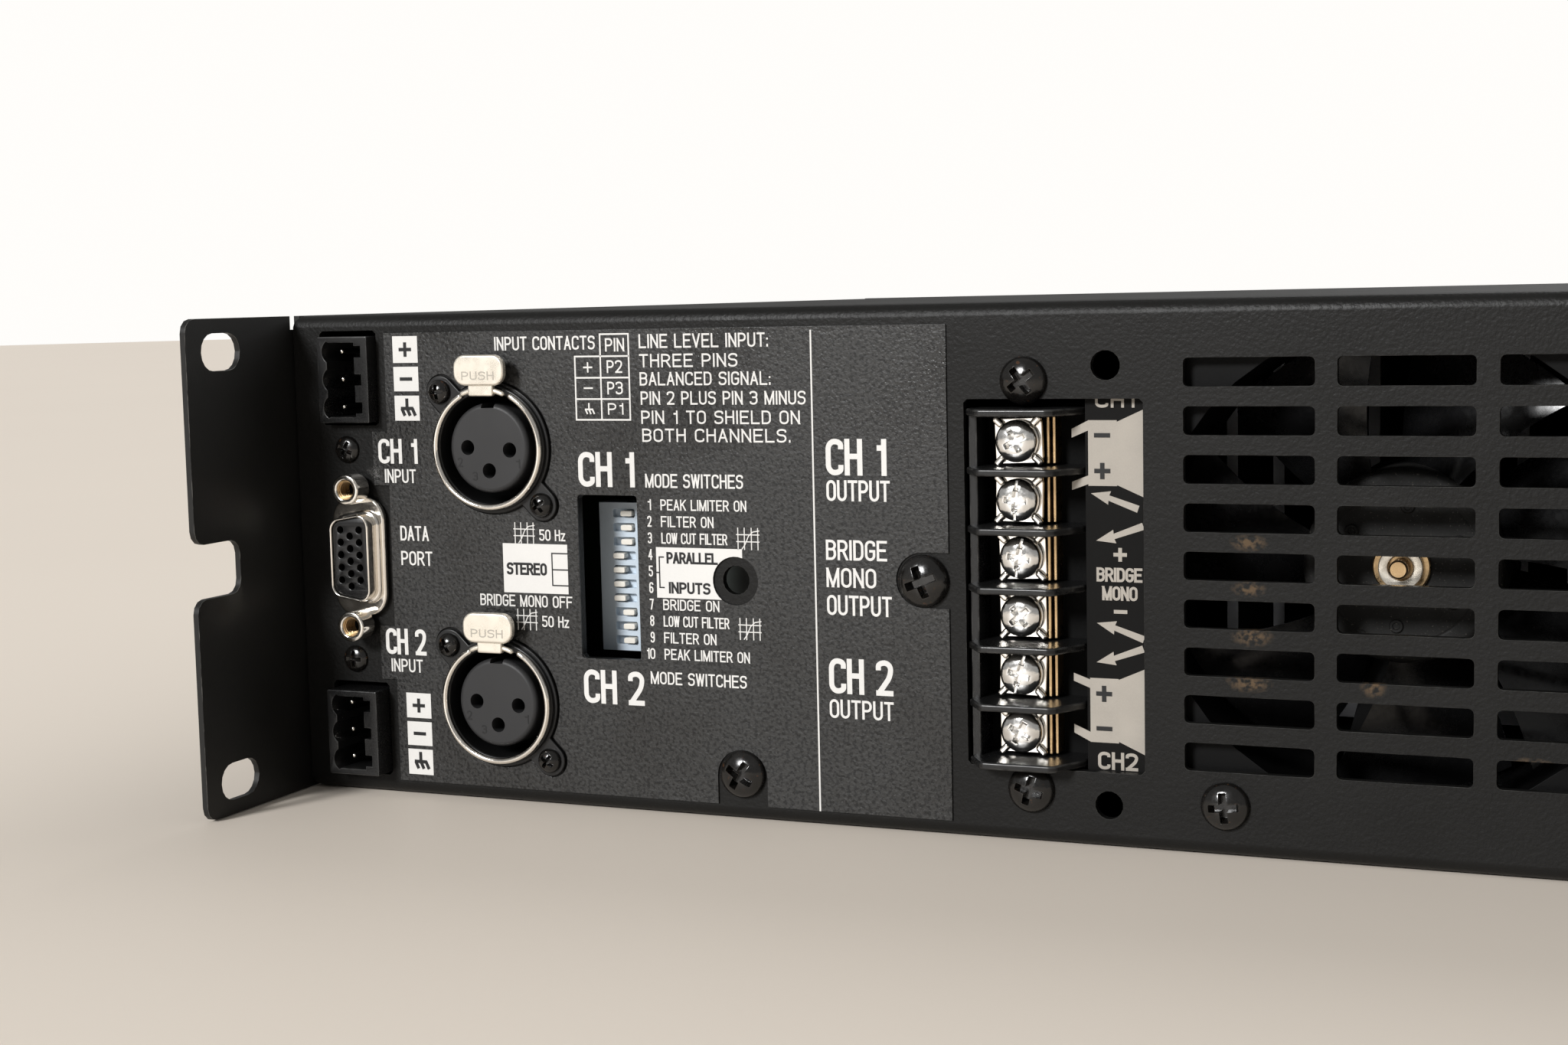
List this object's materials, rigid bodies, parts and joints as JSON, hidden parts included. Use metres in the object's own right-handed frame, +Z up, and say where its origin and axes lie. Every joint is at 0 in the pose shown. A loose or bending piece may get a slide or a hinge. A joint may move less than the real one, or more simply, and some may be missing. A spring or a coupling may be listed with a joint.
{
  "type": "power amplifier",
  "caption": "Rack-mount audio power amplifier two units high, with balanced input sockets, mode switch, screw output terminals, exhaust fan, gain knobs and power rocker.",
  "frame": {"origin": "on the surface that the amplifier stands on, under the middle of its overall box", "axes": "+X to the right seen from the front, +Y from the front panel to the connector panel, +Z up"},
  "size_m": [0.4826, 0.402, 0.088],
  "materials": {
    "black_paint": "satin powder coat with a fine orange-peel grain",
    "front_paint": "satin",
    "legend_film": "textured dark film with a sparkling grain",
    "black_plastic": "moulded, satin",
    "knob_plastic": "moulded, soft gloss",
    "grey_plastic": "moulded, satin",
    "nickel": "bright nickel plate",
    "cream_plastic": "moulded",
    "pale_blue_plastic": "moulded",
    "fan_plastic": "glossy moulded",
    "foam": "open-cell foam",
    "circuit_board": "solder mask",
    "aluminium": "extruded, plain",
    "transformer_core": "taped windings over a steel core",
    "capacitor_can": "sleeved can"
  },
  "bodies": {
    "chassis": {"base_pan": "black_paint", "top_cover": "black_paint", "left_side_panel": "black_paint", "right_side_panel": "black_paint", "rear_panel": "black_paint", "front_panel": "front_paint", "air_filter": "foam", "control_overlay": "legend_film", "output_legend_plate": "legend_film", "input_header_1": "black_plastic", "input_header_2": "black_plastic", "data_port_shell": "nickel", "data_port_insulator": "grey_plastic", "data_port_standoff_1": "nickel", "data_port_standoff_2": "nickel", "mode_switch_body": "pale_blue_plastic", "terminal_block": "black_plastic", "fan_frame": "fan_plastic", "mains_inlet": "black_plastic", "rocker_frame": "black_plastic", "main_board": "circuit_board", "input_board": "circuit_board", "heatsink": "aluminium", "transformer": "transformer_core", "capacitor_1": "capacitor_can", "capacitor_2": "capacitor_can", "xlr_1_shell": "black_plastic", "xlr_1_ring": "nickel", "xlr_1_insert": "grey_plastic", "xlr_2_shell": "black_plastic", "xlr_2_ring": "nickel", "xlr_2_insert": "grey_plastic"},
    "mode_slider_1": {"mode_slider_1": "cream_plastic"},
    "mode_slider_2": {"mode_slider_2": "cream_plastic"},
    "mode_slider_3": {"mode_slider_3": "cream_plastic"},
    "mode_slider_4": {"mode_slider_4": "cream_plastic"},
    "mode_slider_5": {"mode_slider_5": "cream_plastic"},
    "mode_slider_6": {"mode_slider_6": "cream_plastic"},
    "mode_slider_7": {"mode_slider_7": "cream_plastic"},
    "mode_slider_8": {"mode_slider_8": "cream_plastic"},
    "mode_slider_9": {"mode_slider_9": "cream_plastic"},
    "mode_slider_10": {"mode_slider_10": "cream_plastic"},
    "xlr_1_latch": {"xlr_1_latch": "cream_plastic"},
    "xlr_2_latch": {"xlr_2_latch": "cream_plastic"},
    "fan_rotor": {"fan_rotor": "fan_plastic"},
    "gain_knob_1": {"gain_knob_1": "knob_plastic"},
    "gain_knob_2": {"gain_knob_2": "knob_plastic"},
    "rocker": {"rocker": "black_plastic"},
    "clamp_plate_1": {"clamp_plate_1": "nickel"},
    "terminal_screw_1": {"terminal_screw_1": "nickel"},
    "clamp_plate_2": {"clamp_plate_2": "nickel"},
    "terminal_screw_2": {"terminal_screw_2": "nickel"},
    "clamp_plate_3": {"clamp_plate_3": "nickel"},
    "terminal_screw_3": {"terminal_screw_3": "nickel"},
    "clamp_plate_4": {"clamp_plate_4": "nickel"},
    "terminal_screw_4": {"terminal_screw_4": "nickel"},
    "clamp_plate_5": {"clamp_plate_5": "nickel"},
    "terminal_screw_5": {"terminal_screw_5": "nickel"},
    "clamp_plate_6": {"clamp_plate_6": "nickel"},
    "terminal_screw_6": {"terminal_screw_6": "nickel"}
  },
  "joints": [
    {"name": "mode_slider_1_slide", "type": "slide", "parent": "chassis", "child": "mode_slider_1", "axis": [1, 0, 0], "range_m": [0, 0.0017]},
    {"name": "mode_slider_2_slide", "type": "slide", "parent": "chassis", "child": "mode_slider_2", "axis": [1, 0, 0], "range_m": [0, 0.0017]},
    {"name": "mode_slider_3_slide", "type": "slide", "parent": "chassis", "child": "mode_slider_3", "axis": [1, 0, 0], "range_m": [0, 0.0017]},
    {"name": "mode_slider_4_slide", "type": "slide", "parent": "chassis", "child": "mode_slider_4", "axis": [1, 0, 0], "range_m": [-0.0017, 0]},
    {"name": "mode_slider_5_slide", "type": "slide", "parent": "chassis", "child": "mode_slider_5", "axis": [1, 0, 0], "range_m": [-0.0017, 0]},
    {"name": "mode_slider_6_slide", "type": "slide", "parent": "chassis", "child": "mode_slider_6", "axis": [1, 0, 0], "range_m": [-0.0017, 0]},
    {"name": "mode_slider_7_slide", "type": "slide", "parent": "chassis", "child": "mode_slider_7", "axis": [1, 0, 0], "range_m": [-0.0017, 0]},
    {"name": "mode_slider_8_slide", "type": "slide", "parent": "chassis", "child": "mode_slider_8", "axis": [1, 0, 0], "range_m": [0, 0.0017]},
    {"name": "mode_slider_9_slide", "type": "slide", "parent": "chassis", "child": "mode_slider_9", "axis": [1, 0, 0], "range_m": [0, 0.0017]},
    {"name": "mode_slider_10_slide", "type": "slide", "parent": "chassis", "child": "mode_slider_10", "axis": [1, 0, 0], "range_m": [0, 0.0017]},
    {"name": "xlr_1_latch_press", "type": "slide", "parent": "chassis", "child": "xlr_1_latch", "axis": [0, -1, 0], "range_m": [0, 0.0009], "stiffness_N_per_m": 400, "springref_m": -0.001},
    {"name": "xlr_2_latch_press", "type": "slide", "parent": "chassis", "child": "xlr_2_latch", "axis": [0, -1, 0], "range_m": [0, 0.0009], "stiffness_N_per_m": 400, "springref_m": -0.001},
    {"name": "fan_spin", "type": "hinge", "parent": "chassis", "child": "fan_rotor", "pos_m": [0.0195, 0.155, 0.0458], "axis": [0, 1, 0], "continuous": true},
    {"name": "gain_knob_1_turn", "type": "hinge", "parent": "chassis", "child": "gain_knob_1", "pos_m": [0.092, -0.186, 0.044], "axis": [0, 1, 0], "range_deg": [-150, 150]},
    {"name": "gain_knob_2_turn", "type": "hinge", "parent": "chassis", "child": "gain_knob_2", "pos_m": [0.146, -0.186, 0.044], "axis": [0, 1, 0], "range_deg": [-150, 150]},
    {"name": "rocker_press", "type": "hinge", "parent": "chassis", "child": "rocker", "pos_m": [0.196, -0.1845, 0.044], "axis": [1, 0, 0], "range_deg": [-14, 0]},
    {"name": "clamp_plate_1_slide", "type": "slide", "parent": "chassis", "child": "clamp_plate_1", "axis": [0, 1, 0], "range_m": [-0.0015, 0.0009]},
    {"name": "terminal_screw_1_turn", "type": "hinge", "parent": "clamp_plate_1", "child": "terminal_screw_1", "pos_m": [0.0789, 0.17, 0.06561], "axis": [0, 1, 0], "range_deg": [-675.5, 406]},
    {"name": "clamp_plate_2_slide", "type": "slide", "parent": "chassis", "child": "clamp_plate_2", "axis": [0, 1, 0], "range_m": [-0.0015, 0.0009]},
    {"name": "terminal_screw_2_turn", "type": "hinge", "parent": "clamp_plate_2", "child": "terminal_screw_2", "pos_m": [0.0789, 0.17, 0.05609], "axis": [0, 1, 0], "range_deg": [-675.5, 406]},
    {"name": "clamp_plate_3_slide", "type": "slide", "parent": "chassis", "child": "clamp_plate_3", "axis": [0, 1, 0], "range_m": [0, 0.0024]},
    {"name": "terminal_screw_3_turn", "type": "hinge", "parent": "clamp_plate_3", "child": "terminal_screw_3", "pos_m": [0.0789, 0.17, 0.04656], "axis": [0, 1, 0], "range_deg": [0, 1081]},
    {"name": "clamp_plate_4_slide", "type": "slide", "parent": "chassis", "child": "clamp_plate_4", "axis": [0, 1, 0], "range_m": [0, 0.0024]},
    {"name": "terminal_screw_4_turn", "type": "hinge", "parent": "clamp_plate_4", "child": "terminal_screw_4", "pos_m": [0.0789, 0.17, 0.03704], "axis": [0, 1, 0], "range_deg": [0, 1081]},
    {"name": "clamp_plate_5_slide", "type": "slide", "parent": "chassis", "child": "clamp_plate_5", "axis": [0, 1, 0], "range_m": [-0.0005, 0.0019]},
    {"name": "terminal_screw_5_turn", "type": "hinge", "parent": "clamp_plate_5", "child": "terminal_screw_5", "pos_m": [0.0789, 0.17, 0.02751], "axis": [0, 1, 0], "range_deg": [-225.5, 856]},
    {"name": "clamp_plate_6_slide", "type": "slide", "parent": "chassis", "child": "clamp_plate_6", "axis": [0, 1, 0], "range_m": [-0.0005, 0.0019]},
    {"name": "terminal_screw_6_turn", "type": "hinge", "parent": "clamp_plate_6", "child": "terminal_screw_6", "pos_m": [0.0789, 0.17, 0.01799], "axis": [0, 1, 0], "range_deg": [-225.5, 856]}
  ],
  "couplings": [
    {"joint": "terminal_screw_1_turn", "follows": "clamp_plate_1_slide", "rad_per_m": 7854},
    {"joint": "terminal_screw_2_turn", "follows": "clamp_plate_2_slide", "rad_per_m": 7854},
    {"joint": "terminal_screw_3_turn", "follows": "clamp_plate_3_slide", "rad_per_m": 7854},
    {"joint": "terminal_screw_4_turn", "follows": "clamp_plate_4_slide", "rad_per_m": 7854},
    {"joint": "terminal_screw_5_turn", "follows": "clamp_plate_5_slide", "rad_per_m": 7854},
    {"joint": "terminal_screw_6_turn", "follows": "clamp_plate_6_slide", "rad_per_m": 7854}
  ]
}
